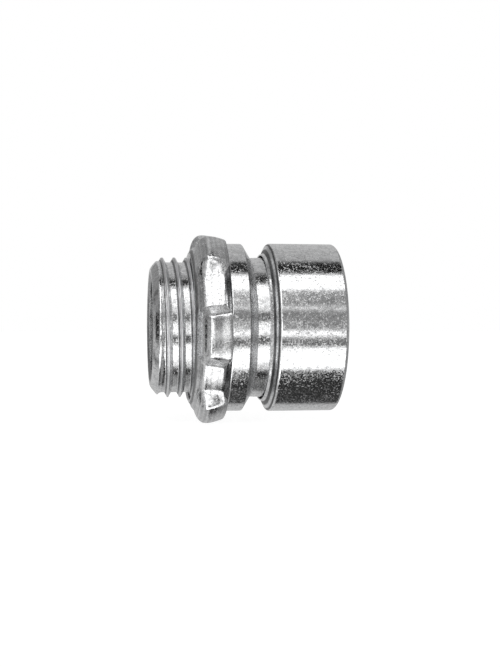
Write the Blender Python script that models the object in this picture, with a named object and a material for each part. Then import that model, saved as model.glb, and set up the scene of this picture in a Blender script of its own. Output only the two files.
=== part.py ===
"""Half-inch compression connector for thin-wall conduit, with its locknut.

Frame: the axis of the fitting is X. -X is the threaded end that goes through
the wall of a box, +X is the end where the conduit enters, +Z is up. The origin
is on the axis, half way along the fitting.

Pieces: connector_body, locknut, gland_nut, gland_ring. Both threads are right
handed, and the gland nut's thread is in mesh with the body's.

Dimensions are in millimetres. Names that end in _R are radii; LEFT is towards
-X and RIGHT towards +X.
"""

import math

import bmesh
import bpy
import numpy as np
from mathutils import Matrix, Vector

MM = 0.001
SEGMENTS = 40                 # facets round every turned surface
SHARP_ANGLE = math.radians(28.0)

# ---- dimensions that several pieces share ----------------------------------

# X stations are measured from a datum plane close to the origin. DATUM_X is
# where that plane lies when the origin is half way between the two ends.
LEFT_END = -13.575
RIGHT_END = 13.875
DATUM_X = -(LEFT_END + RIGHT_END) / 2.0

# All threads.
FLANK_SLOPE = math.tan(math.radians(30.0))    # axial run of a flank for each mm of height
ROW_GAP = 0.02                # spacing of thread rows that are gathered at an end
TURNS = range(-12, 20)        # turns laid out before trimming, more than any thread needs

# Thread of the box end: straight, 14 threads an inch.
BOX_PITCH = 25.4 / 14.0
BOX_CREST_AT_TOP = -11.90     # X of a crest where it passes the top of the fitting

# Thread under the gland nut: 20 threads an inch.
GLAND_PITCH = 25.4 / 20.0
GLAND_MAJOR_R = 10.62
GLAND_CREST_FLAT = 0.16
GLAND_CREST_AT_TOP = 4.60

SOCKET_R = 9.10               # takes a tube of 17.93 outside diameter


# ---- helpers ---------------------------------------------------------------

def on_axis(x, radius, angle):
    """Point at station x and a radius, `angle` round from +Z towards -Y."""
    return Vector((
        (x + DATUM_X) * MM,
        -radius * math.sin(angle) * MM,
        radius * math.cos(angle) * MM,
    ))


def even_angles():
    return [math.tau * j / SEGMENTS for j in range(SEGMENTS)]


def metal(name, colour, roughness):
    mat = bpy.data.materials.new(name)
    mat.use_nodes = True
    shader = mat.node_tree.nodes["Principled BSDF"]
    shader.inputs["Base Color"].default_value = (*colour, 1.0)
    shader.inputs["Metallic"].default_value = 1.0
    shader.inputs["Roughness"].default_value = roughness
    mat.diffuse_color = (*colour, 1.0)
    return mat


def add_object(name, bm, origin_x, mat, parent):
    """Turn a bmesh in fitting coordinates into an object with its origin on the axis.

    `origin_x` is measured from the fitting's origin, not from the datum plane.
    """
    bmesh.ops.recalc_face_normals(bm, faces=bm.faces)
    bmesh.ops.translate(bm, verts=bm.verts, vec=(-origin_x * MM, 0.0, 0.0))
    mesh = bpy.data.meshes.new(name)
    bm.to_mesh(mesh)
    bm.free()
    mesh.shade_smooth()
    mesh.set_sharp_from_angle(angle=SHARP_ANGLE)
    mesh.materials.append(mat)
    obj = bpy.data.objects.new(name, mesh)
    obj.location = (origin_x * MM, 0.0, 0.0)
    obj.parent = parent
    bpy.context.scene.collection.objects.link(obj)


def turned_arc(outline, start, angle):
    """Spin a closed outline of (x, radius) points part of the way round the axis."""
    bm = bmesh.new()
    verts = [bm.verts.new(on_axis(x, radius, start)) for x, radius in outline]
    edges = [bm.edges.new((verts[i - 1], verts[i])) for i in range(len(verts))]
    cap = bm.faces.new(verts)
    bmesh.ops.spin(bm, geom=verts + edges + [cap], cent=(0, 0, 0), axis=(1, 0, 0),
                   angle=angle, steps=SEGMENTS, space=Matrix.Identity(4))
    # Weld any vertices that the spin leaves in the same place.
    bmesh.ops.remove_doubles(bm, verts=bm.verts, dist=1e-8)
    return bm


class Thread:
    """A right-hand thread form of four rows a pitch: both edges of crest and root.

    `wide_r` is the radius at the flat that is centred on `flat_x` where the
    helix passes the top, and `narrow_r` the radius of the other flat. `left`
    and `right` are the (x, radius) points where the thread ends. The surface it
    is cut into slopes from them to full height over `left_slope` and
    `right_slope`: a male thread never rises above that surface and a female
    thread never dips below it.
    """

    def __init__(self, *, pitch, flat_x, wide_r, narrow_r, flat,
                 left, right, left_slope, right_slope, male):
        half_flat = flat / 2.0
        flank = (wide_r - narrow_r) * FLANK_SLOPE
        other_flat = pitch - flat - 2.0 * flank
        self.stations = [         # (x from flat_x, radius)
            (-half_flat, wide_r),
            (half_flat, wide_r),
            (half_flat + flank, narrow_r),
            (half_flat + flank + other_flat, narrow_r),
        ]
        self.pitch = pitch
        self.flat_x = flat_x
        self.x_from, left_r = left
        self.x_to, right_r = right
        full_r = wide_r if male else narrow_r
        self.limit_x = [self.x_from, self.x_from + left_slope,
                        self.x_to - right_slope, self.x_to]
        self.limit_r = [left_r, full_r, full_r, right_r]
        self.trim = min if male else max

    def grid(self, angles):
        """Rows of (x, radius), one value for each angle, covering x_from to x_to.

        Rows that would start before x_from or end after x_to are gathered
        there, ROW_GAP apart, so the surface stays one clean grid.
        """
        rows = [(self.flat_x + turn * self.pitch + offset, radius)
                for turn in TURNS for offset, radius in self.stations]
        advance = self.pitch * angles[0] / math.tau
        first = max(i for i, (x, _) in enumerate(rows)
                    if x + advance + self.pitch <= self.x_from)
        last = min(i for i, (x, _) in enumerate(rows) if x + advance >= self.x_to)
        rows = rows[first:last + 1]
        per_turn = len(self.stations)
        grid = []
        for k, (row_x, row_r) in enumerate(rows):
            line = []
            for angle in angles:
                part = (angle - angles[0]) / math.tau
                low = self.x_from + ROW_GAP * (k + per_turn * part + 1)
                high = self.x_to - ROW_GAP * (len(rows) - k + per_turn * (1.0 - part))
                helix_x = row_x + self.pitch * angle / math.tau
                x = min(max(helix_x, low), high)
                limit = float(np.interp(x, self.limit_x, self.limit_r))
                gathered = x != helix_x
                line.append((x, limit if gathered else self.trim(row_r, limit)))
            grid.append(line)
        return grid


def add_thread(bm, thread, angles, left, right):
    """Skin a thread between the vertex loops at its left and right ends."""
    grid = [[bm.verts.new(on_axis(x, radius, angle)) for (x, radius), angle in zip(line, angles)]
            for line in thread.grid(angles)]
    rows = [left, *grid, right]
    for row, after in zip(rows, rows[1:]):
        for j in range(len(angles) - 1):
            bm.faces.new((row[j], row[j + 1], after[j + 1], after[j]))

    # Where the helix closes, each row meets the one a turn further on.
    turn = len(thread.stations)
    last = len(grid) - 1
    bm.faces.new((left[-1], left[0], grid[0][0], grid[0][-1]))
    bm.faces.new((grid[last][-1], grid[last][0], right[0], right[-1]))
    for k in range(turn):
        bm.faces.new((grid[0][-1], grid[k][0], grid[k + 1][0]))
        bm.faces.new((grid[last][0], grid[last - k][-1], grid[last - k - 1][-1]))
    for k in range(last - turn):
        bm.faces.new((grid[k][-1], grid[k + turn][0], grid[k + turn + 1][0], grid[k + 1][-1]))


def revolve(profile, angles):
    """Closed skin over a profile that runs round the section and back to its start.

    Each entry is an (x, radius) ring, a function of the angle that returns one,
    or a Thread that fills the space between the rings before and after it.
    Other neighbours are joined straight across.
    """
    bm = bmesh.new()
    loops = []
    threads = {}              # index of the loop before a thread: the thread
    for entry in profile:
        if isinstance(entry, Thread):
            threads[len(loops) - 1] = entry
            continue
        loop = []
        for angle in angles:
            x, radius = entry(angle) if callable(entry) else entry
            loop.append(bm.verts.new(on_axis(x, radius, angle)))
        loops.append(loop)

    for i, loop in enumerate(loops):
        after = loops[(i + 1) % len(loops)]
        if i in threads:
            left, right = (loop, after) if loop[0].co.x < after[0].co.x else (after, loop)
            add_thread(bm, threads[i], angles, left, right)
            continue
        for j in range(len(angles)):
            n = (j + 1) % len(angles)
            bm.faces.new((loop[j], loop[n], after[n], after[j]))
    return bm


# ---- connector body --------------------------------------------------------

END_FACE_R = 8.75
BOX_MAJOR_R = 10.40
BOX_ROOT_R = 9.62
BOX_CREST_FLAT = 0.20
BOX_LEFT_SLOPE = 1.634
BOX_RIGHT_SLOPE = 0.35
BOX_THREAD_RIGHT = -4.10      # the box thread runs out into a groove by the collar
BOX_GROOVE_R = 9.25
COLLAR_LEFT = -2.845
COLLAR_R = 12.50
COLLAR_CHAMFER = 0.15
COLLAR_FLAT_END = -0.195
COLLAR_FOOT = 1.015
COLLAR_FOOT_R = 10.55
COLLAR_FOOT_SLOPE = 0.12      # length of the step from the collar's foot to the neck
NECK_R = 10.45
NECK_END = 3.20
NECK_END_SLOPE = 0.25
UNDERCUT_R = 9.95             # groove between the neck and the gland thread
GLAND_ROOT_R = 9.97
GLAND_THREAD_LEFT = 3.60
GLAND_END_SLOPE = 0.67
MOUTH = 9.15
MOUTH_R = 9.80
SOCKET_TAPER_START = 7.575
CONDUIT_STOP = -1.80
THROAT_R = 7.60
THROAT_CHAMFER = 0.5


def build_body(parent):
    box_left = (LEFT_END, END_FACE_R)
    box_right = (BOX_THREAD_RIGHT, BOX_GROOVE_R)
    box_thread = Thread(
        pitch=BOX_PITCH, flat_x=BOX_CREST_AT_TOP,
        wide_r=BOX_MAJOR_R, narrow_r=BOX_ROOT_R, flat=BOX_CREST_FLAT,
        left=box_left, right=box_right,
        left_slope=BOX_LEFT_SLOPE, right_slope=BOX_RIGHT_SLOPE, male=True)
    gland_left = (GLAND_THREAD_LEFT, UNDERCUT_R)
    gland_right = (MOUTH, UNDERCUT_R)
    gland_thread = Thread(
        pitch=GLAND_PITCH, flat_x=GLAND_CREST_AT_TOP,
        wide_r=GLAND_MAJOR_R, narrow_r=GLAND_ROOT_R, flat=GLAND_CREST_FLAT,
        left=gland_left, right=gland_right,
        left_slope=GLAND_END_SLOPE, right_slope=GLAND_END_SLOPE, male=True)
    profile = [
        (LEFT_END, THROAT_R + THROAT_CHAMFER),
        box_left,
        box_thread,
        box_right,
        (COLLAR_LEFT, BOX_GROOVE_R),
        (COLLAR_LEFT, COLLAR_R - COLLAR_CHAMFER),
        (COLLAR_LEFT + COLLAR_CHAMFER, COLLAR_R),
        (COLLAR_FLAT_END, COLLAR_R),
        (COLLAR_FOOT, COLLAR_FOOT_R),
        (COLLAR_FOOT + COLLAR_FOOT_SLOPE, NECK_R),
        (NECK_END, NECK_R),
        (NECK_END + NECK_END_SLOPE, UNDERCUT_R),
        gland_left,
        gland_thread,
        gland_right,
        (MOUTH, MOUTH_R),
        (SOCKET_TAPER_START, SOCKET_R),
        (CONDUIT_STOP, SOCKET_R),
        (CONDUIT_STOP, THROAT_R),
        (LEFT_END + THROAT_CHAMFER, THROAT_R),
    ]
    zinc = metal("zinc_body", colour=(0.66, 0.67, 0.68), roughness=0.28)
    add_object("connector_body", revolve(profile, even_angles()), 0.0, zinc, parent)


# ---- gland nut -------------------------------------------------------------

NUT_ORIGIN_X = 8.0
NUT_LEFT = 2.90
NUT_RIM_R = 10.97
NUT_LIP = (3.30, 11.12)       # (x, radius)
NUT_CHAMFER = (3.83, 12.33)   # (x, radius)
NUT_SHOULDER = 4.25
NUT_R = 12.58
NUT_EDGE = 0.45               # rounding of the conduit end
NUT_COUNTERBORE_R = 10.79     # plain bore that clears the neck and the thread
NUT_MINOR_R = 10.19
NUT_THREAD_LEFT = 4.75
NUT_LEFT_SLOPE = 0.40
NUT_RIGHT_SLOPE = 0.45
NUT_RELIEF_LEFT = 10.0        # groove between the thread and the cone
NUT_RELIEF_RIGHT = 10.9
NUT_RELIEF_R = 10.95
NUT_CONE_R = 10.25            # wide end of the cone that closes the ring
NUT_CONE_END = 12.95
NUT_EXIT_R = 9.30
NUT_EXIT_CHAMFER = 0.2
THREAD_CLEARANCE = 0.12       # between the gland threads, square to the flank


def build_gland_nut(parent):
    # The nut's grooves are the body's thread, grown by the clearance on its flanks.
    slack = NUT_COUNTERBORE_R - GLAND_MAJOR_R
    shift = THREAD_CLEARANCE / math.cos(math.radians(30.0))
    thread_left = (NUT_THREAD_LEFT, NUT_COUNTERBORE_R)
    thread_right = (NUT_RELIEF_LEFT, NUT_RELIEF_R)
    thread = Thread(
        pitch=GLAND_PITCH, flat_x=GLAND_CREST_AT_TOP,
        wide_r=NUT_COUNTERBORE_R, narrow_r=NUT_MINOR_R,
        flat=GLAND_CREST_FLAT + 2.0 * (shift - slack * FLANK_SLOPE),
        left=thread_left, right=thread_right,
        left_slope=NUT_LEFT_SLOPE, right_slope=NUT_RIGHT_SLOPE, male=False)
    # Distance of the rounding's middle point from the end face and from the outside.
    edge_inset = NUT_EDGE * (1.0 - math.cos(math.radians(45.0)))
    profile = [
        (NUT_LEFT, NUT_COUNTERBORE_R),
        (NUT_LEFT, NUT_RIM_R),
        NUT_LIP,
        NUT_CHAMFER,
        (NUT_SHOULDER, NUT_R),
        (RIGHT_END - NUT_EDGE, NUT_R),
        (RIGHT_END - edge_inset, NUT_R - edge_inset),
        (RIGHT_END, NUT_R - NUT_EDGE),
        (RIGHT_END, NUT_EXIT_R + NUT_EXIT_CHAMFER),
        (RIGHT_END - NUT_EXIT_CHAMFER, NUT_EXIT_R),
        (NUT_CONE_END, NUT_EXIT_R),
        (NUT_RELIEF_RIGHT, NUT_CONE_R),
        (NUT_RELIEF_RIGHT, NUT_RELIEF_R),
        thread_right,
        thread,
        thread_left,
    ]
    zinc = metal("zinc_gland_nut", colour=(0.66, 0.67, 0.68), roughness=0.24)
    add_object("gland_nut", revolve(profile, even_angles()), NUT_ORIGIN_X, zinc, parent)


# ---- gland ring, split so that it can close on the conduit -----------------

RING_ORIGIN_X = 10.9
RING_LEFT = 9.40
RING_RIGHT = 12.30
RING_BORE_R = SOCKET_R
RING_R = 9.86
RING_NOSE_R = 9.26            # outside radius at the left end
RING_NOSE = 1.35              # length of the left taper
RING_TAIL_R = 9.51            # outside radius at the right end
RING_TAIL = 0.75              # length of the right taper
RING_SLIT = 1.3               # width of the slit, round the outside


def build_gland_ring(parent):
    outline = [
        (RING_LEFT, RING_BORE_R),
        (RING_LEFT, RING_NOSE_R),
        (RING_LEFT + RING_NOSE, RING_R),
        (RING_RIGHT - RING_TAIL, RING_R),
        (RING_RIGHT, RING_TAIL_R),
        (RING_RIGHT, RING_BORE_R),
    ]
    slit_angle = RING_SLIT / RING_R
    # The slit faces the bottom of the fitting.
    bm = turned_arc(outline, start=math.pi + slit_angle / 2.0, angle=math.tau - slit_angle)
    zinc = metal("zinc_gland_ring", colour=(0.60, 0.61, 0.62), roughness=0.38)
    add_object("gland_ring", bm, RING_ORIGIN_X, zinc, parent)


# ---- locknut ---------------------------------------------------------------

LOCKNUT_ORIGIN_X = -5.5
LOCKNUT_LEFT = -7.90
LOCKNUT_RIGHT = -3.05
LOCKNUT_BORE_R = 10.51
LOCKNUT_GROOVE_R = 10.95
LOCKNUT_GROOVE_FLAT = 0.40
LOCKNUT_THREAD_RIGHT = -4.75
LOCKNUT_END_SLOPE = 0.38

# Angles in degrees; the half angles are measured from the centre of a lug.
LUGS = 6
LUG_SPACING = 360.0 / LUGS
LUG_PHASE = 95.55             # centre of one lug, from +Z round by -Y
LUG_TIP_HALF = 12.55
LUG_WALL_HALF = 16.2          # part way down a side wall
LUG_FOOT_HALF = 19.8
LUG_TIP_R = 14.50
VALLEY_R = 12.73


def lug_angles():
    """Angles round the locknut: each lug's tip and side walls, and the valley after it."""
    steps = [
        -LUG_TIP_HALF, 0.0, LUG_TIP_HALF, LUG_WALL_HALF, LUG_FOOT_HALF,
        LUG_SPACING - LUG_FOOT_HALF, LUG_SPACING - LUG_WALL_HALF,
    ]
    return [math.radians(LUG_PHASE + (lug - 1) * LUG_SPACING + step)
            for lug in range(LUGS) for step in steps]


def polar(radius, angle):
    """Point in the plane of the lugs, `angle` from the centre line of a lug."""
    return Vector((radius * math.sin(angle), radius * math.cos(angle)))


def lug_height(angle):
    """1 on a lug's tip, 0 in a valley, and between them along the straight side wall."""
    half_spacing = LUG_SPACING / 2.0
    offset = (math.degrees(angle) - LUG_PHASE + half_spacing) % LUG_SPACING - half_spacing
    offset = math.radians(abs(offset))
    tip_half = math.radians(LUG_TIP_HALF)
    foot_half = math.radians(LUG_FOOT_HALF)
    if offset <= tip_half + 1e-9:
        return 1.0
    if offset >= foot_half - 1e-9:
        return 0.0
    # Radius at which the ray at this angle crosses the line from tip to foot.
    tip = polar(LUG_TIP_R, tip_half)
    wall = polar(VALLEY_R, foot_half) - tip
    ray = polar(1.0, offset)
    radius = (tip.x * wall.y - tip.y * wall.x) / (ray.x * wall.y - ray.y * wall.x)
    return (radius - VALLEY_R) / (LUG_TIP_R - VALLEY_R)


def lug_ring(valley, lug):
    """Ring that follows `lug` on the lugs and `valley` between them, both (x, radius)."""
    def at(angle):
        height = lug_height(angle)
        return tuple(low + (high - low) * height for low, high in zip(valley, lug))
    return at


def build_locknut(parent):
    thread_left = (LOCKNUT_LEFT, LOCKNUT_GROOVE_R)
    thread_right = (LOCKNUT_THREAD_RIGHT, LOCKNUT_GROOVE_R)
    thread = Thread(
        pitch=BOX_PITCH, flat_x=BOX_CREST_AT_TOP,
        wide_r=LOCKNUT_GROOVE_R, narrow_r=LOCKNUT_BORE_R, flat=LOCKNUT_GROOVE_FLAT,
        left=thread_left, right=thread_right,
        left_slope=LOCKNUT_END_SLOPE, right_slope=LOCKNUT_END_SLOPE, male=False)
    # From the left end over the outside to the recess in the right face.
    profile = [
        thread_left,
        (LOCKNUT_LEFT + 0.05, 11.15),
        (LOCKNUT_LEFT + 0.20, 11.36),
        lug_ring((-7.25, 11.90), (-7.40, 12.60)),
        lug_ring((-6.70, 12.35), (-6.88, 13.80)),
        lug_ring((-6.40, 12.62), (-6.28, 14.36)),
        lug_ring((-6.20, VALLEY_R), (-5.65, LUG_TIP_R)),
        lug_ring((-5.00, VALLEY_R), (-4.20, LUG_TIP_R - 0.12)),
        lug_ring((-3.65, VALLEY_R), (LOCKNUT_RIGHT, LUG_TIP_R - 0.85)),
        lug_ring((-4.10, 12.00), (-3.62, 12.45)),
        (LOCKNUT_THREAD_RIGHT, 11.30),
        thread_right,
        thread,
    ]
    zinc = metal("zinc_locknut", colour=(0.70, 0.71, 0.72), roughness=0.34)
    add_object("locknut", revolve(profile, lug_angles()), LOCKNUT_ORIGIN_X, zinc, parent)


# ---- the fitting -----------------------------------------------------------

def build_fitting():
    for old in list(bpy.data.objects):
        bpy.data.objects.remove(old, do_unlink=True)

    fitting = bpy.data.objects.new("fitting_axis", None)
    bpy.context.scene.collection.objects.link(fitting)
    build_body(fitting)
    build_gland_nut(fitting)
    build_gland_ring(fitting)
    build_locknut(fitting)


build_fitting()
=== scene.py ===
# A half-inch compression connector: a body threaded at both ends, a locknut on the
# box end (-X), and a gland nut over a split ring on the conduit end (+X). The axis
# is X, up is +Z, and the camera stands on the -Y side.
#
# Lengths are in millimetres and turn into metres when a mesh is made. X stations
# are measured from DATUM; r is the distance from the axis. Angles round the axis
# start at the top and grow towards the camera's side.

import math

import bpy
import numpy as np
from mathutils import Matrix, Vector


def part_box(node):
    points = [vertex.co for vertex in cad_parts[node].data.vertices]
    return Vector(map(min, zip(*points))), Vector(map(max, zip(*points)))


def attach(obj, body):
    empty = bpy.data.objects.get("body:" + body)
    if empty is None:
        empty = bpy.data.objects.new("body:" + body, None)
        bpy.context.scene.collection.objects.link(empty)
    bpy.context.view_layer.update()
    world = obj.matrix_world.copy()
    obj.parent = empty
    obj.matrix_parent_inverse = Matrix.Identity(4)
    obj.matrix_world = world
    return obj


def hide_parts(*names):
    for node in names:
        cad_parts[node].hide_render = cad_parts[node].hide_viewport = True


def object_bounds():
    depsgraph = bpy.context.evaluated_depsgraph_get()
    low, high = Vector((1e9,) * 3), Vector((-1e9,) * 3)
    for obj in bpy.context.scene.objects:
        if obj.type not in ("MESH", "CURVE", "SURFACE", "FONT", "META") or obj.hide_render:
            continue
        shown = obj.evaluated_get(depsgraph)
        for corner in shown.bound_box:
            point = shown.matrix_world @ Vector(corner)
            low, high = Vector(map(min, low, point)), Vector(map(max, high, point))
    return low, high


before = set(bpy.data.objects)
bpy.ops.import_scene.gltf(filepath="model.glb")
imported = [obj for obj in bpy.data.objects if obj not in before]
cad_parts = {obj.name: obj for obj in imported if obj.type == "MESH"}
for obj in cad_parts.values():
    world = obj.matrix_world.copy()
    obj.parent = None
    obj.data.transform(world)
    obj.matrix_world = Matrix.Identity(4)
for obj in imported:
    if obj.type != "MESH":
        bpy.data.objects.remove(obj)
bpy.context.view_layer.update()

MM = 0.001
DATUM = -0.15
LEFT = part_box("connector_body")[0].x / MM - DATUM
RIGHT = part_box("gland_nut")[1].x / MM - DATUM

COLUMNS = 180                # columns round a turned piece
OUTLINE_STEP = 1.2           # longest step along a turned outline
SHARP_DEG = 38.0             # edges that turn further than this are shaded sharp
GATHER = 0.004               # least spacing of the rows gathered at a thread's ends

# Thread on the box end, 14 to the inch.
BOX_PITCH = 25.4 / 14.0
BOX_CREST_AT_TOP = -11.90    # station of one crest at the top of the fitting
BOX_MAJOR_R = 10.40
BOX_ROOT_R = 9.66

# Thread under the gland nut, 20 to the inch.
GLAND_PITCH = 25.4 / 20.0
GLAND_CREST_AT_TOP = 4.60
GLAND_MAJOR_R = 10.62
GLAND_ROOT_R = 9.97
GLAND_CREST_FLAT = 0.16

FLANK_DEG = 30.0             # slope of a thread's flanks; the box thread has its own
BORE_R = 9.10                # bore of the body and of the split ring
THROAT_R = 7.60              # narrower bore behind the box thread


# ---- outlines --------------------------------------------------------------

def rounded(corners, closed=True, steps=5, support=0.03):
    """Corners (x, r, rounding radius) to a polyline whose corners are arcs.

    `steps` is the number of segments in a quarter turn. A support point sits just
    outside each arc, so that smooth shading keeps the flats beside it flat.
    """
    out = []
    n = len(corners)
    for i, (x, r, radius) in enumerate(corners):
        corner = np.array((x, r), float)
        if (not closed and i in (0, n - 1)) or radius <= 0.0:
            out.append(tuple(corner))
            continue
        back = np.array(corners[i - 1][:2], float) - corner
        ahead = np.array(corners[(i + 1) % n][:2], float) - corner
        back_length, ahead_length = np.linalg.norm(back), np.linalg.norm(ahead)
        back, ahead = back / back_length, ahead / ahead_length
        half = math.acos(max(-1.0, min(1.0, float(back @ ahead)))) / 2.0
        if abs(half - math.pi / 2.0) < 0.02:       # nearly straight on
            out.append(tuple(corner))
            continue
        cut = min(radius / math.tan(half), back_length * 0.45, ahead_length * 0.45)
        radius = cut * math.tan(half)
        inward = (back + ahead) / np.linalg.norm(back + ahead)
        centre = corner + inward * (radius / math.sin(half))
        start = corner + back * cut - centre
        end = corner + ahead * cut - centre
        turn = math.atan2(start[0] * end[1] - start[1] * end[0], float(start @ end))
        count = max(2, int(math.ceil(abs(turn) / math.radians(90.0 / steps))))
        if back_length * 0.5 > cut + support:
            out.append(tuple(corner + back * (cut + support)))
        for k in range(count + 1):
            cos, sin = math.cos(turn * k / count), math.sin(turn * k / count)
            out.append((centre[0] + start[0] * cos - start[1] * sin,
                        centre[1] + start[0] * sin + start[1] * cos))
        if ahead_length * 0.5 > cut + support:
            out.append(tuple(corner + ahead * (cut + support)))
    return out


def subdivide(points, longest, closed=True):
    """Extra points so that no step along the outline is longer than `longest`."""
    out = []
    n = len(points)
    for i in range(n if closed else n - 1):
        (x0, r0), (x1, r1) = points[i], points[(i + 1) % n]
        count = max(1, int(math.ceil(math.hypot(x1 - x0, r1 - r0) / longest)))
        for k in range(count):
            t = k / count
            out.append((x0 + (x1 - x0) * t, r0 + (r1 - r0) * t))
    if not closed:
        out.append(tuple(points[-1]))
    return out


# ---- threads ---------------------------------------------------------------

def thread_form(pitch, outer, inner, outer_flat, soft_outer, soft_inner, steps,
                flank_deg=FLANK_DEG):
    """One pitch of a thread as (x, r), centred on the flat at the outer radius.

    `soft_outer` and `soft_inner` are the rounding radii of the corners.
    """
    run = (outer - inner) * math.tan(math.radians(flank_deg))
    inner_flat = pitch - outer_flat - 2.0 * run
    half_flat = outer_flat / 2.0
    corners = [
        (-pitch / 2.0, inner, 0.0),
        (-pitch / 2.0 + inner_flat / 2.0, inner, soft_inner),
        (-half_flat, outer, soft_outer),
        (half_flat, outer, soft_outer),
        (half_flat + run, inner, soft_inner),
        (pitch / 2.0, inner, 0.0),
    ]
    line = rounded(corners, closed=False, steps=steps, support=0.02)
    return subdivide(line, pitch / 10.0, closed=False)[:-1]


class Helix:
    """A right-hand thread between x_from and x_to.

    `limit` is an outline (x, r) that a male thread stays inside and a female one
    outside. `deepen` is an optional (x, x) over which the cut reaches full depth.
    """

    def __init__(self, pitch, crest_at_top, form, x_from, x_to, limit, male, deepen=None):
        self.pitch, self.crest_at_top, self.form = pitch, crest_at_top, form
        self.x_from, self.x_to = x_from, x_to
        self.limit = np.array(limit, float)
        self.male, self.deepen = male, deepen

    def rows(self, angles):
        """x and r of each row at each angle, and the number of rows in one turn."""
        base = []
        for turn in range(-14, 22):
            for dx, r in self.form:
                base.append((self.crest_at_top + turn * self.pitch + dx, r))
        lead = self.pitch * angles[0] / math.tau
        first = max(i for i, (x, _) in enumerate(base) if x + lead + self.pitch <= self.x_from)
        last = min(i for i, (x, _) in enumerate(base) if x + lead >= self.x_to)
        base = np.array(base[first:last + 1])

        # Rows that run past an end are gathered there, a hair apart.
        k = np.arange(len(base))[:, None]
        part = ((angles - angles[0]) / math.tau)[None, :]
        turn_rows = len(self.form)
        low = self.x_from + GATHER * (k + turn_rows * part + 1)
        high = self.x_to - GATHER * (len(base) - k + turn_rows * (1.0 - part))
        helix = base[:, :1] + self.pitch * angles[None, :] / math.tau
        x = np.minimum(np.maximum(helix, low), high)

        edge = np.interp(x, self.limit[:, 0], self.limit[:, 1])
        r = np.broadcast_to(base[:, 1:2], x.shape)
        r = np.minimum(r, edge) if self.male else np.maximum(r, edge)
        if self.deepen is not None:
            start, end = self.deepen
            t = np.clip((x - start) / (end - start), 0.0, 1.0)
            r = edge + (r - edge) * (t * t * (3.0 - 2.0 * t))
        return x, np.where(x != helix, edge, r), turn_rows


# ---- meshes ----------------------------------------------------------------

class Skin:
    """Vertices and faces of a closed skin made of loops round the axis."""

    def __init__(self, angles):
        self.angles = np.asarray(angles, float)
        self.n = len(self.angles)
        self.xyz, self.faces, self.count = [], [], 0

    def loop(self, x, r):
        x = np.broadcast_to(np.asarray(x, float), (self.n,))
        r = np.broadcast_to(np.asarray(r, float), (self.n,))
        self.xyz.append(np.stack((x + DATUM, -r * np.sin(self.angles),
                                  r * np.cos(self.angles)), 1))
        ids = np.arange(self.count, self.count + self.n)
        self.count += self.n
        return ids

    def quads(self, loop, after, wrap=True):
        j = np.arange(self.n if wrap else self.n - 1)
        k = (j + 1) % self.n
        self.faces.extend(np.stack((loop[j], loop[k], after[k], after[j]), 1).tolist())

    def helix(self, left, right, thread, turned=False):
        """Joins the loops `left` and `right` by a thread.

        `turned` turns the faces over, for a thread that runs against the outline.
        """
        start = len(self.faces)
        x, r, turn = thread.rows(self.angles)
        rows = [self.loop(x[k], r[k]) for k in range(len(x))]
        last = len(rows) - 1
        self.quads(left, rows[0], wrap=False)
        self.quads(rows[last], right, wrap=False)
        for k in range(last):
            self.quads(rows[k], rows[k + 1], wrap=False)
        # The seam: the end of each row meets the row one turn further on.
        faces = self.faces
        faces.append([left[-1], left[0], rows[0][0], rows[0][-1]])
        faces.append([rows[last][-1], rows[last][0], right[0], right[-1]])
        for k in range(turn):
            faces.append([rows[0][-1], rows[k][0], rows[k + 1][0]])
            faces.append([rows[last][0], rows[last - k][-1], rows[last - k - 1][-1]])
        for k in range(last - turn):
            faces.append([rows[k][-1], rows[k + turn][0], rows[k + turn + 1][0],
                          rows[k + 1][-1]])
        if turned:
            faces[start:] = [face[::-1] for face in faces[start:]]

    def finish(self, node, body, material, slot):
        """Makes the object that replaces the CAD node."""
        verts = np.concatenate(self.xyz) * MM
        faces = [[int(v) for v in face] for face in self.faces]
        # The whole skin faces out: turned over if its volume comes out negative.
        triangles = np.array([(f[0], f[i], f[i + 1]) for f in faces
                              for i in range(1, len(f) - 1)])
        p = verts[triangles]
        volume = np.einsum("ij,ij->i", p[:, 0], np.cross(p[:, 1], p[:, 2])).sum()
        if volume < 0.0:
            faces = [face[::-1] for face in faces]
        name = node + "_finished"
        mesh = bpy.data.meshes.new(name)
        mesh.from_pydata(verts.tolist(), [], faces)
        mesh.validate()
        mesh.shade_smooth()
        mesh.set_sharp_from_angle(angle=math.radians(SHARP_DEG))
        mesh.materials.append(material)
        obj = bpy.data.objects.new(name, mesh)
        bpy.context.scene.collection.objects.link(obj)
        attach(obj, body)
        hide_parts(node)


def turned_skin(sections):
    """A skin whose closed outline is made of (corners, thread) sections: rounded
    corners, then the Helix that leads on to the next section."""
    skin = Skin(np.arange(COLUMNS) * math.tau / COLUMNS)
    points, threads = [], {}
    for corners, thread in sections:
        points += subdivide(rounded(corners, closed=False), OUTLINE_STEP, closed=False)
        threads[len(points) - 1] = thread
    loops = [skin.loop(x, r) for x, r in points]
    for i, loop in enumerate(loops):
        k = (i + 1) % len(loops)
        if i not in threads:
            skin.quads(loop, loops[k])
        elif points[i][0] < points[k][0]:
            skin.helix(loop, loops[k], threads[i])
        else:
            skin.helix(loops[k], loop, threads[i], turned=True)
    return skin


# ---- shader graphs ---------------------------------------------------------

class Value:
    """A socket or a number in a graph; arithmetic on it makes Math nodes."""

    def __init__(self, graph, source):
        self.graph, self.source = graph, source

    def __add__(self, other):
        return self.graph.math('ADD', self, other)

    def __sub__(self, other):
        return self.graph.math('SUBTRACT', self, other)

    def __rsub__(self, other):
        return self.graph.math('SUBTRACT', other, self)

    def __mul__(self, other):
        return self.graph.math('MULTIPLY', self, other)

    def __truediv__(self, other):
        return self.graph.math('DIVIDE', self, other)

    def max(self, other):
        return self.graph.math('MAXIMUM', self, other)

    def clamp(self):
        """Holds the Math node that made this value to 0..1."""
        self.source.node.use_clamp = True
        return self


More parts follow.
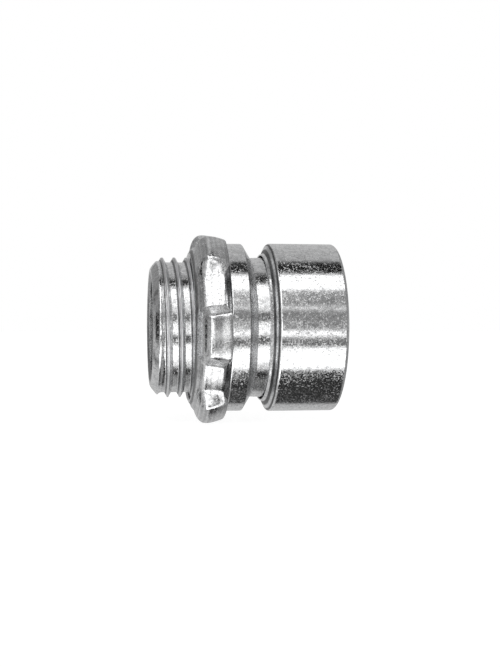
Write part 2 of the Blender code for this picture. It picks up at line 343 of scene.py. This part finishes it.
class Graph:
    """The emptied node tree of a material or world."""

    def __init__(self, owner):
        owner.use_nodes = True
        self.tree = owner.node_tree
        self.tree.nodes.clear()

    def node(self, kind, inputs=None, **settings):
        """Makes a node and returns its outputs as Values by name."""
        node = self.tree.nodes.new("ShaderNode" + kind)
        for key, setting in settings.items():
            setattr(node, key, setting)
        for key, value in (inputs or {}).items():
            source = value.source if isinstance(value, Value) else value
            if isinstance(source, bpy.types.NodeSocket):
                self.tree.links.new(source, node.inputs[key])
            else:
                node.inputs[key].default_value = source
        return {output.name: Value(self, output) for output in node.outputs}

    def math(self, operation, *operands):
        return self.node("Math", dict(enumerate(operands)), operation=operation)["Value"]

    def ramp(self, value, span, result, interpolation='LINEAR'):
        """Maps the span (low, high) of a value to the result (at low, at high)."""
        return self.node("MapRange", {
            "Value": value, "From Min": span[0], "From Max": span[1],
            "To Min": result[0], "To Max": result[1]}, interpolation_type=interpolation)["Result"]

    def step(self, value, span, result):
        """A ramp with eased ends."""
        return self.ramp(value, span, result, interpolation='SMOOTHSTEP')

    def noise(self, vector, scale, detail, roughness):
        return self.node("TexNoise", {"Vector": vector, "Scale": scale, "Detail": detail,
                                      "Roughness": roughness})["Fac"]


# ---- zinc plating ----------------------------------------------------------

GRAIN = 4200.0               # crystal grains per metre
GRAIN_DEPTH = 0.5            # relief of the grain
SPECKS = 0.42                # roughness added in scattered matt crystals
EDGE_HIGHLIGHT_AND_HOLLOW_SHADE = 0.5                   # strength of the painted highlight on edges and the painted shade in hollows, which are also rougher


def station(x):
    return (x + DATUM) * MM


def zinc(name, seed, base, rough, colour_speckle=0.12, lathe=0.35, blotch=0.25,
         rings_depth=0.04, painted_shade_rings=(), painted_light_rings=(), thread=None):
    """Bright zinc plating: fine crystal grain, lathe lines round the axis, cloudy
    roughness, painted shade and more roughness in hollows, a painted highlight on edges.

    The dark rings, ("x" or "r", middle, half width, strength), are painted shade, and
    the bright rings, (x, half width), are painted light with a least roughness. `thread`
    is (x_from, x_to, crest radius) of a thread with painted highlights on its crests and painted
    shade on its flanks.
    """
    material = bpy.data.materials.new(name)
    graph = Graph(material)
    ramp, noise = graph.ramp, graph.noise

    # Patterns in space.
    coord = graph.node("TexCoord")
    shift = (seed * 0.013, seed * 0.007, seed * 0.011)
    place = graph.node("Mapping", {"Location": shift, "Vector": coord["Object"]})["Vector"]
    fine = noise(place, scale=GRAIN, detail=1.0, roughness=0.6)
    crystals = graph.node("TexVoronoi", {"Scale": GRAIN * 0.62, "Vector": place}, feature='F1')
    facet = graph.node("SeparateColor", {"Color": crystals["Color"]})
    cloud = noise(place, scale=420.0, detail=3.0, roughness=0.6)
    wide = noise(place, scale=140.0, detail=2.0, roughness=0.5)

    # Patterns that change with x and radius only, so that they run round the axis.
    axis = graph.node("SeparateXYZ", {"Vector": coord["Object"]})
    radius = graph.math('SQRT', axis["Y"] * axis["Y"] + axis["Z"] * axis["Z"])
    turned = graph.node("CombineXYZ", {"X": axis["X"], "Y": radius, "Z": seed * 0.01})["Vector"]
    lines = noise(turned, scale=9000.0, detail=2.0, roughness=0.7)
    rings = noise(turned, scale=2600.0, detail=1.0, roughness=0.5)

    # Outer edges and hollows of the mesh.
    pointiness = graph.node("NewGeometry")["Pointiness"]
    edge = ramp(pointiness, (0.502, 0.54), (0.0, 1.0))
    hollow = ramp(pointiness, (0.46, 0.498), (1.0, 0.0))

    # Painted shade: the dark rings, their borders shifted by the cloud, and the thread's flanks.
    painted_shade = Value(graph, 0.0)
    if painted_shade_rings:
        drift = (cloud - 0.5) * (0.12 * MM)
    for kind, middle, half, strength in painted_shade_rings:
        along = axis["X"] if kind == "x" else radius
        middle = station(middle) if kind == "x" else middle * MM
        off = graph.math('ABSOLUTE', along + drift - middle)
        painted_shade = painted_shade.max(ramp(off, (half * 0.45 * MM, half * MM), (strength, 0.0)))
    crest = Value(graph, 0.0)
    if thread is not None:
        x_from, x_to, crest_r = thread
        on_thread = (ramp(axis["X"], (station(x_from), station(x_from + 0.3)), (0.0, 1.0))
                     * ramp(axis["X"], (station(x_to - 0.1), station(x_to)), (1.0, 0.0)))
        facing = graph.node("SeparateXYZ", {"Vector": coord["Normal"]})["X"]
        # Painted shade on the thread's flanks, mostly the left ones, and a painted highlight on
        # its crests.
        left_flank = on_thread * ramp(facing, (-0.84, -0.66), (0.70, 0.0))
        right_flank = on_thread * ramp(facing, (0.62, 0.84), (0.0, 0.05))
        crest = on_thread * ramp(radius, ((crest_r - 0.46) * MM, (crest_r - 0.28) * MM),
                                 (0.0, 1.0))
        painted_shade = painted_shade.max(left_flank.max(right_flank) * (1.0 - crest))
    # Rings of painted light: the colour raised, and a least roughness.
    satin_and_painted_light = Value(graph, 0.0)
    for middle, half in painted_light_rings:
        off = graph.math('ABSOLUTE', axis["X"] - station(middle))
        satin_and_painted_light = satin_and_painted_light.max(ramp(off, (half * 0.8 * MM, half * MM), (1.0, 0.0)))

    # Colour: grey speckled by crystal and grain, then clouded.
    speckle = facet["Red"] * 0.6 + fine * 0.8
    tone = ramp(speckle, (0.25, 1.15),
                (base * (1.0 - colour_speckle), base * (1.0 + colour_speckle)))
    tone = tone * ramp(cloud, (0.3, 0.7), (1.0 - blotch * 0.25, 1.0 + blotch * 0.15))
    # Painted shade in hollows, a painted highlight on edges, and faint rings left by turning or
    # stamping.
    tone = tone * ramp(hollow, (0.0, 1.0), (1.0, 1.0 - 0.35 * EDGE_HIGHLIGHT_AND_HOLLOW_SHADE))
    tone = (tone + edge * (0.14 * EDGE_HIGHLIGHT_AND_HOLLOW_SHADE)).clamp()
    tone = (tone * ramp(rings, (0.35, 0.65),
                        (1.0 - rings_depth * 0.7, 1.0 + rings_depth * 0.5))).clamp()
    # Painted shade darkens; the crests' painted highlight and the rings of painted light are at
    # least this bright.
    tone = tone * (1.0 - painted_shade)
    tone = tone.max(crest * 0.96)
    tone = tone.max(satin_and_painted_light * 0.97)
    # A slight lean towards blue.
    tint = graph.node("CombineColor", {"Red": tone, "Green": (tone * 1.004).clamp(),
                                       "Blue": (tone * 1.012).clamp()})["Color"]

    # Roughness: cloudy, varied by crystal.
    dull = ramp(cloud, (0.3, 0.7), (rough * 0.75, rough * 1.35))
    dull = dull + facet["Green"] * (rough * 0.35)
    # Scattered crystals are matt and throw light out of the mirror direction.
    speck = ramp(noise(place, scale=GRAIN * 0.9, detail=1.5, roughness=0.6),
                 (0.53, 0.66), (0.0, SPECKS))
    dull = dull + speck * ramp(cloud, (0.35, 0.6), (0.45, 1.0))
    # Hollows and painted shade are rougher, edges smoother; the crests and the rings of painted
    # light have a least roughness.
    dull = dull + hollow * (0.12 * EDGE_HIGHLIGHT_AND_HOLLOW_SHADE)
    dull = (dull - edge * (rough * 0.3)).clamp()
    dull = (dull + painted_shade * 0.25).clamp()
    dull = dull.max(crest * 0.36)
    dull = dull.max(satin_and_painted_light * 0.22)

    # Relief: crystals, lathe lines and a slow waviness, in hundredths of a millimetre.
    height = (fine * GRAIN_DEPTH + facet["Blue"] * (GRAIN_DEPTH * 0.5)
              + lines * lathe + wide * (2.0 * blotch))
    bump = graph.node("Bump", {"Strength": 1.0, "Distance": 0.00001, "Height": height})

    shader = graph.node("BsdfPrincipled", {"Base Color": tint, "Metallic": 1.0,
                                           "Roughness": dull, "Normal": bump["Normal"]})
    graph.node("OutputMaterial", {"Surface": shader["BSDF"]})
    return material


# Body: painted light on the seat cone, painted shade at the collar's right corner, in the throat
# and on the box thread's flanks, and painted highlights on its crests.
body_zinc = zinc("zinc_body", seed=1.0, base=0.86, rough=0.12, colour_speckle=0.26,
                 painted_light_rings=((0.48, 0.66),),
                 painted_shade_rings=(("x", -0.17, 0.09, 0.5), ("r", THROAT_R, 0.9, 0.45)),
                 thread=(-12.6, -4.0, BOX_MAJOR_R))
# Gland nut: two dark lines of painted shade on its chamfer.
nut_zinc = zinc("zinc_gland_nut", seed=2.0, base=0.86, rough=0.11, colour_speckle=0.26,
                painted_shade_rings=(("x", 3.42, 0.20, 0.82), ("x", 3.88, 0.13, 0.80)))
# Locknut: dark rings of painted shade on its left face round the thread.
locknut_zinc = zinc("zinc_locknut", seed=3.0, base=0.88, rough=0.18, lathe=0.0, blotch=0.8,
                    colour_speckle=0.2, rings_depth=0.34,
                    painted_shade_rings=(("r", 11.36, 0.26, 0.60), ("r", 12.02, 0.08, 0.30)))
ring_zinc = zinc("zinc_gland_ring", seed=4.0, base=0.76, rough=0.28)


# ---- connector body --------------------------------------------------------

BOX_THREAD_START = LEFT + 0.12
BOX_THREAD_END = -4.10
BOX_MOUTH_R = 8.75           # outer edge of the left end face
BOX_START_R = 8.93
BOX_NECK_R = 9.25            # between the box thread and the collar
COLLAR_LEFT = -2.845
COLLAR_R = 12.50
GLAND_THREAD_START = 3.60
GLAND_THREAD_END = 9.10
GLAND_NECK_R = 9.95          # at both ends of the gland thread
GLAND_CHAMFER = GLAND_MAJOR_R - GLAND_NECK_R
BODY_RIGHT = 9.15
THROAT_RIGHT = -1.80

box_thread = Helix(
    BOX_PITCH, BOX_CREST_AT_TOP,
    thread_form(BOX_PITCH, outer=BOX_MAJOR_R, inner=BOX_ROOT_R, outer_flat=0.14,
                soft_outer=0.26, soft_inner=0.16, steps=5, flank_deg=28.0),
    BOX_THREAD_START, BOX_THREAD_END, male=True, deepen=(LEFT + 0.55, LEFT + 1.6),
    # x, r: a nose that swells to the full radius, and a slope down to the neck
    limit=[(LEFT, BOX_MOUTH_R), (BOX_THREAD_START, BOX_START_R), (LEFT + 0.30, 9.20),
           (LEFT + 0.74, 9.74), (LEFT + 1.12, 10.09), (LEFT + 1.48, 10.31),
           (LEFT + 1.85, BOX_MAJOR_R), (BOX_THREAD_END - 0.45, BOX_MAJOR_R),
           (BOX_THREAD_END, BOX_NECK_R)])
gland_thread = Helix(
    GLAND_PITCH, GLAND_CREST_AT_TOP,
    thread_form(GLAND_PITCH, outer=GLAND_MAJOR_R, inner=GLAND_ROOT_R,
                outer_flat=GLAND_CREST_FLAT, soft_outer=0.05, soft_inner=0.08, steps=3),
    GLAND_THREAD_START, GLAND_THREAD_END, male=True,
    limit=[(GLAND_THREAD_START, GLAND_NECK_R),
           (GLAND_THREAD_START + GLAND_CHAMFER, GLAND_MAJOR_R),
           (GLAND_THREAD_END - GLAND_CHAMFER, GLAND_MAJOR_R),
           (GLAND_THREAD_END, GLAND_NECK_R)])

# Outlines here and below: x, r, rounding radius.
body_middle = [              # neck, collar and seat, from thread to thread
    (BOX_THREAD_END, BOX_NECK_R, 0.0),
    (COLLAR_LEFT, BOX_NECK_R, 0.15),
    (COLLAR_LEFT, COLLAR_R, 0.22),
    (-0.195, COLLAR_R, 0.16),
    (1.015, 10.55, 0.30),
    (1.135, 10.40, 0.10),
    (3.20, 10.49, 0.08),
    (3.45, GLAND_NECK_R, 0.12),
    (GLAND_THREAD_START, GLAND_NECK_R, 0.0),
]
body_bore = [                # right end, bore, throat and left end
    (GLAND_THREAD_END, GLAND_NECK_R, 0.0),
    (BODY_RIGHT, 9.90, 0.0),
    (BODY_RIGHT, 9.80, 0.04),
    (7.575, BORE_R, 0.3),
    (THROAT_RIGHT, BORE_R, 0.15),
    (THROAT_RIGHT, THROAT_R, 0.15),
    (LEFT + 0.30, THROAT_R, 0.15),
    (LEFT, 8.10, 0.12),
    (LEFT, BOX_MOUTH_R, 0.09),
    (BOX_THREAD_START, BOX_START_R, 0.0),
]
skin = turned_skin([(body_middle, gland_thread), (body_bore, box_thread)])
skin.finish("connector_body", "fitting_body", body_zinc, "body_zinc")


# ---- gland nut -------------------------------------------------------------

COUNTERBORE_R = 10.79
NUT_MINOR_R = 10.19
NUT_RECESS_R = 10.95         # recess to the right of the thread
NUT_R = 12.58
NUT_THREAD_START = 4.75
NUT_THREAD_END = 10.0
THREAD_GAP = 0.12            # between the flanks of nut and body

slack = COUNTERBORE_R - GLAND_MAJOR_R
flank = math.radians(FLANK_DEG)
groove_flat = GLAND_CREST_FLAT + 2.0 * (THREAD_GAP / math.cos(flank) - slack * math.tan(flank))
nut_thread = Helix(
    GLAND_PITCH, GLAND_CREST_AT_TOP,
    thread_form(GLAND_PITCH, outer=COUNTERBORE_R, inner=NUT_MINOR_R, outer_flat=groove_flat,
                soft_outer=0.05, soft_inner=0.06, steps=3),
    NUT_THREAD_START, NUT_THREAD_END, male=False,
    limit=[(NUT_THREAD_START, COUNTERBORE_R), (4.95, COUNTERBORE_R), (5.30, NUT_MINOR_R),
           (9.55, NUT_MINOR_R), (NUT_THREAD_END, NUT_RECESS_R)])
nut_outline = [
    (NUT_THREAD_START, COUNTERBORE_R, 0.0),
    (2.90, COUNTERBORE_R, 0.05),
    (2.90, 10.97, 0.08),
    (3.30, 11.12, 0.12),
    (3.96, NUT_R, 0.45),
    (RIGHT, NUT_R, 0.48),
    (RIGHT, 9.45, 0.10),
    (RIGHT - 0.2, 9.30, 0.10),
    (12.95, 9.30, 0.15),
    (10.90, 10.25, 0.05),
    (10.90, NUT_RECESS_R, 0.10),
    (NUT_THREAD_END, NUT_RECESS_R, 0.0),
]
skin = turned_skin([(nut_outline, nut_thread)])
skin.finish("gland_nut", "gland_nut", nut_zinc, "nut_zinc")


# ---- split gland ring ------------------------------------------------------

RING_LEFT, RING_RIGHT = 9.40, 12.30
RING_R = 9.86
SLIT_WIDTH = 1.3             # the slit is at the bottom

ring_corners = [
    (RING_LEFT, BORE_R, 0.04), (RING_LEFT, 9.26, 0.06), (10.75, RING_R, 0.5),
    (11.55, RING_R, 0.4), (RING_RIGHT, 9.51, 0.10), (RING_RIGHT, BORE_R, 0.06),
]
slit = SLIT_WIDTH / RING_R
skin = Skin(math.pi + slit / 2.0 + (math.tau - slit) * np.arange(COLUMNS + 1) / COLUMNS)
loops = [skin.loop(x, r) for x, r in subdivide(rounded(ring_corners), 0.8)]
for i, loop in enumerate(loops):
    skin.quads(loop, loops[(i + 1) % len(loops)], wrap=False)
# Both faces of the slit.
skin.faces.append([loop[0] for loop in loops])
skin.faces.append([loop[-1] for loop in loops][::-1])
skin.finish("gland_ring", "gland_ring", ring_zinc, "ring_zinc")


# ---- locknut ---------------------------------------------------------------

LUG_COUNT = 6
LUG_STEP_DEG = 60.0
LUG_PHASE_DEG = 95.55        # middle of the lug in front
TIP_HALF_DEG = 12.55         # half a lug at its tip
FOOT_HALF_DEG = 19.8         # half a lug at its foot
VALLEY_R = 12.73
LUG_TIP_R = 14.50
LUG_EASE_DEG = 1.7           # reach of the rounding of a lug's corners
NUT_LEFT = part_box("locknut")[0].x / MM - DATUM
BORE_RIGHT = -4.75
LOCKNUT_MOUTH_R = 10.98
LOCKNUT_GROOVE_R = 10.95
LOCKNUT_MINOR_R = 10.51


def lug_height(angles, spread):
    """1 on a lug's tip, 0 in a valley, and the straight side wall between them.

    `spread` widens the lug, in degrees to each side.
    """
    half_step = LUG_STEP_DEG / 2.0
    off = np.radians(np.abs((np.degrees(angles) - LUG_PHASE_DEG + half_step) % LUG_STEP_DEG
                            - half_step))
    tip_angle = math.radians(TIP_HALF_DEG + spread)
    foot_angle = math.radians(FOOT_HALF_DEG + spread)
    tip = np.array((LUG_TIP_R * math.sin(tip_angle), LUG_TIP_R * math.cos(tip_angle)))
    foot = np.array((VALLEY_R * math.sin(foot_angle), VALLEY_R * math.cos(foot_angle)))
    wall = foot - tip
    r = (tip[0] * wall[1] - tip[1] * wall[0]) / (np.sin(off) * wall[1] - np.cos(off) * wall[0])
    height = (r - VALLEY_R) / (LUG_TIP_R - VALLEY_R)
    return np.where(off <= tip_angle, 1.0, np.where(off >= foot_angle, 0.0, height))


def eased_lug(angles, spread):
    """lug_height with its corners rounded by a weighted mean over nearby angles."""
    steps = np.linspace(-1.0, 1.0, 9)
    weights = 1.0 - np.abs(steps) * 0.75
    weights /= weights.sum()
    return sum(w * lug_height(angles + math.radians(LUG_EASE_DEG * s), spread)
               for w, s in zip(weights, steps))


def even_samples(line, counts):
    """The same number of points on each side of an outline, so two outlines match."""
    out = []
    for (x0, r0), (x1, r1), count in zip(line, line[1:], counts):
        for k in range(count):
            t = k / count
            out.append((x0 + (x1 - x0) * t, r0 + (r1 - r0) * t))
    out.append(line[-1])
    return np.array(out)


def smooth_outline(line, times):
    line = line.copy()
    for _ in range(times):
        line[1:-1] = 0.25 * line[:-2] + 0.5 * line[1:-1] + 0.25 * line[2:]
    return line


# Columns of half a lug in degrees from its valley's middle, closer at the corners.
half_lug = np.array([0.0, 3.2, 6.4, 8.6, 9.8, 10.7, 11.4, 12.0, 12.6, 13.2, 13.8, 14.6, 15.6,
                     16.6, 17.6, 18.4, 19.1, 19.8, 20.5, 21.2, 22.2, 23.8, 26.9])
one_lug = np.concatenate((half_lug, [LUG_STEP_DEG / 2.0], (LUG_STEP_DEG - half_lug[1:])[::-1]))
lug_angles = np.radians(np.concatenate([
    LUG_PHASE_DEG - LUG_STEP_DEG + LUG_STEP_DEG * k + one_lug for k in range(LUG_COUNT)]))

# Outline through a valley and through a lug: valley x, r, lug x, r, steps to the next.
LOCKNUT_OUTLINE = [
    (NUT_LEFT, LOCKNUT_MOUTH_R, NUT_LEFT, LOCKNUT_MOUTH_R, 3),
    (NUT_LEFT + 0.05, 11.12, NUT_LEFT + 0.05, 11.12, 3),
    (NUT_LEFT + 0.20, 11.36, NUT_LEFT + 0.20, 11.36, 6),
    (-7.36, 11.70, -7.50, 11.76, 4),
    (-7.17, 11.96, -7.38, 12.30, 4),
    (-6.90, 12.08, -7.22, 12.95, 4),
    (-6.70, 12.30, -6.88, 13.75, 4),
    (-6.30, 12.44, -6.28, 14.36, 4),
    (-5.98, VALLEY_R - 0.28, -5.65, LUG_TIP_R, 12),
    (-3.65, VALLEY_R + 0.20, -2.74, LUG_TIP_R - 0.80, 6),
    (-4.10, 12.00, -3.45, 12.45, 6),
    (BORE_RIGHT, 11.30, BORE_RIGHT, 11.30, 3),
    (BORE_RIGHT, LOCKNUT_MOUTH_R, BORE_RIGHT, LOCKNUT_MOUTH_R, 0),
]
BACK_ROW = 8                 # the row where a lug's back starts
# x, r along a lug's back. The lugs are bent down towards the box wall (+X), the
# one in front hardly at all.
LUG_BACK = ((-5.65, LUG_TIP_R), (-4.70, LUG_TIP_R - 0.12), (-3.60, LUG_TIP_R - 0.45),
            (-2.74, LUG_TIP_R - 0.80))
LEVEL_DROP = 0.18            # most that the lug in front drops along its back

counts = [row[4] for row in LOCKNUT_OUTLINE]
valley = smooth_outline(even_samples([row[0:2] for row in LOCKNUT_OUTLINE], counts), 2)
lug = even_samples([row[2:4] for row in LOCKNUT_OUTLINE], counts)
back = slice(sum(counts[:BACK_ROW]), sum(counts[:BACK_ROW + 1]) + 1)
lug[back, 1] = np.interp(lug[back, 0], [x for x, _ in LUG_BACK], [r for _, r in LUG_BACK])
lug = smooth_outline(lug, 3)
level = lug.copy()
level[back, 1] = np.maximum(level[back, 1], LUG_TIP_R - LEVEL_DROP)
level = smooth_outline(level, 2)[:, 1]

locknut_thread = Helix(
    BOX_PITCH, BOX_CREST_AT_TOP,
    thread_form(BOX_PITCH, outer=LOCKNUT_GROOVE_R, inner=LOCKNUT_MINOR_R, outer_flat=0.40,
                soft_outer=0.05, soft_inner=0.08, steps=4),
    NUT_LEFT + 0.02, BORE_RIGHT - 0.02, male=False,
    limit=[(NUT_LEFT + 0.02, LOCKNUT_GROOVE_R), (NUT_LEFT + 0.38, LOCKNUT_MINOR_R),
           (BORE_RIGHT - 0.38, LOCKNUT_MINOR_R), (BORE_RIGHT - 0.02, LOCKNUT_GROOVE_R)])

skin = Skin(lug_angles)
loops = []
off_front = np.abs((np.degrees(lug_angles) - LUG_PHASE_DEG + 180.0) % 360.0 - 180.0)
in_front = np.clip((30.0 - off_front) / 4.0, 0.0, 1.0)
for (valley_x, valley_r), (lug_x, lug_r), level_r in zip(valley, lug, level):
    # The lugs widen towards the box wall, as a stamping's do.
    spread = 0.9 * max(-1.0, min(1.0, (valley_x + 4.9) / 1.4))
    height = eased_lug(lug_angles, spread)
    top_r = lug_r + (level_r - lug_r) * in_front
    loops.append(skin.loop(valley_x + (lug_x - valley_x) * height,
                           valley_r + (top_r - valley_r) * height))
for loop, after in zip(loops, loops[1:]):
    skin.quads(loop, after)
skin.helix(loops[0], loops[-1], locknut_thread, turned=True)
skin.finish("locknut", "locknut", locknut_zinc, "locknut_zinc")


# ---- floor -----------------------------------------------------------------

FLOOR_HALF = 3.0             # metres
FLOOR_GAP = 0.00002          # metres below the fitting

floor_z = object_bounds()[0].z - FLOOR_GAP
floor_mesh = bpy.data.meshes.new("floor")
floor_mesh.from_pydata([(x * FLOOR_HALF, y * FLOOR_HALF, floor_z)
                        for x, y in ((-1, -1), (1, -1), (1, 1), (-1, 1))], [], [(0, 1, 2, 3)])
floor_material = bpy.data.materials.new("pale_floor")
floor_material.use_nodes = True
floor_inputs = floor_material.node_tree.nodes["Principled BSDF"].inputs
for key, value in {"Base Color": (0.35, 0.35, 0.35, 1.0), "Roughness": 0.9,
                   "Emission Color": (1, 1, 1, 1), "Emission Strength": 0.88}.items():
    floor_inputs[key].default_value = value
floor_mesh.materials.append(floor_material)
floor = bpy.data.objects.new("floor", floor_mesh)
bpy.context.scene.collection.objects.link(floor)
floor.visible_glossy = False


# ---- studio light ----------------------------------------------------------

# Strip lights that run along the fitting, with dark gaps between them, as a ring
# of directions round the X axis: (angle in degrees, brightness). Angles are from
# the camera's side, up being positive; brightness 1 is paper white.
BANDS = [            # seen in the nut and the collar
    (-180, 0.56), (-131, 0.50), (-127, 0.04), (-60.5, 0.025), (-56.5, 1.75), (-29, 1.75),
    (-26, 0.17), (-14, 0.18), (-11, 1.5), (-6, 1.5), (-3, 0.24), (22.5, 0.25),
    (24.5, 0.95), (27, 0.95), (29, 0.26), (50, 0.28), (54.5, 1.75), (74, 1.75), (77.5, 0.008),
    (99, 0.008), (103, 0.42), (135, 0.48), (180, 0.56),
]
BANDS_LEFT = [       # further left, seen in the thread and the neck
    (-180, 0.56), (-131, 0.50), (-94, 0.42), (-90, 0.03), (-76, 0.03), (-71, 1.6), (-33, 1.6),
    (-30, 0.05), (-13, 0.06), (-10, 1.6), (7, 1.6), (10, 0.10), (26, 0.12), (29, 1.5),
    (68.5, 1.5), (72, 0.008), (90, 0.008), (94, 0.42), (135, 0.48), (180, 0.56),
]
BRIGHTEST = 2.5      # brightness at the top of the curves
WHITE = (1.0, 1.0, 1.0, 1.0)


def strips(graph, share, table):
    """Brightness round the axis; `share` is the angle as 0..1 of a turn."""
    curve_value = graph.node("FloatCurve", {"Value": share})["Value"]
    mapping = curve_value.source.node.mapping
    points = mapping.curves[0].points
    while len(points) < len(table):
        points.new(0.5, 0.5)
    for point, (degrees, brightness) in zip(points, table):
        point.location = ((degrees + 180.0) / 360.0, brightness / BRIGHTEST)
        point.handle_type = 'VECTOR'
    mapping.use_clip = False
    mapping.update()
    return curve_value * BRIGHTEST


def degrees_span(low, high):
    return math.radians(low), math.radians(high)


def studio_light(graph):
    """Brightness of the studio by direction."""
    step = graph.step
    toward = graph.node("SeparateXYZ", {"Vector": graph.node("TexCoord")["Generated"]})
    x, z = toward["X"], toward["Z"]
    angle = graph.math('ARCTAN2', z, toward["Y"] * -1.0)
    share = angle / math.tau + 0.5

    # The strips are short. Past their left end the room is grey, darker above;
    # past their right end it is an even grey.
    room = step(z, (-0.25, 0.35), (0.52, 0.26))
    light = step(x, (0.084, 0.098),
                 (strips(graph, share, BANDS_LEFT), strips(graph, share, BANDS)))
    light = step(x, (-0.21, -0.17), (room, light))
    light = step(x, (0.34, 0.46), (light, 0.26))

    # A soft box on the left in front, which the locknut's tilted facets face.
    box_side = step(x, (-0.42, -0.36), (0.0, 1.0)) * step(x, (-0.21, -0.17), (1.0, 0.0))
    box_height = 1.0 - step(graph.math('ABSOLUTE', angle), degrees_span(80, 86), (0.0, 1.0))
    light = light.max(box_side * box_height * 2.0)

    # Off the threaded end: dark straight off it, the room round that, a dark ring
    # outside. Off the conduit end: pale.
    left_angle = graph.math('ARCCOSINE', x * -1.0)
    right_angle = graph.math('ARCCOSINE', x)
    light = step(left_angle, degrees_span(34, 40), (0.10, light))
    light = step(left_angle, degrees_span(28, 33), (room, light))
    light = step(left_angle, degrees_span(14.5, 18), (0.02, light))
    return step(right_angle, degrees_span(10, 18), (0.50, light))


world = bpy.data.worlds.new("studio")
bpy.context.scene.world = world
graph = Graph(world)
studio = graph.node("Background", {"Color": WHITE, "Strength": studio_light(graph)})
paper = graph.node("Background", {"Color": WHITE, "Strength": 1.0})
# The camera itself sees white paper.
mix = graph.node("MixShader", {"Fac": graph.node("LightPath")["Is Camera Ray"],
                               1: studio["Background"], 2: paper["Background"]})
graph.node("OutputWorld", {"Surface": mix["Shader"]})


# ---- camera ----------------------------------------------------------------

CAMERA_YAW_DEG = 8.3         # swung towards the box end
CAMERA_DISTANCE = 0.165      # metres
TARGET_X = 1.455             # station on the axis that the camera looks at

camera_data = bpy.data.cameras.new("camera")
camera_data.lens = 59.13
camera_data.sensor_width = 36.0
camera_data.clip_start = 0.01
camera_data.clip_end = 50.0
camera_data.shift_y = -0.0093
camera = bpy.data.objects.new("camera", camera_data)
bpy.context.scene.collection.objects.link(camera)
yaw = math.radians(CAMERA_YAW_DEG)
to_camera = Vector((-math.sin(yaw), -math.cos(yaw), 0.0))
camera.location = Vector((station(TARGET_X), 0.0, 0.0)) + to_camera * CAMERA_DISTANCE
camera.rotation_mode = 'QUATERNION'
camera.rotation_quaternion = (-to_camera).to_track_quat('-Z', 'Y')
bpy.context.scene.camera = camera
bpy.context.scene.view_settings.view_transform = 'Standard'
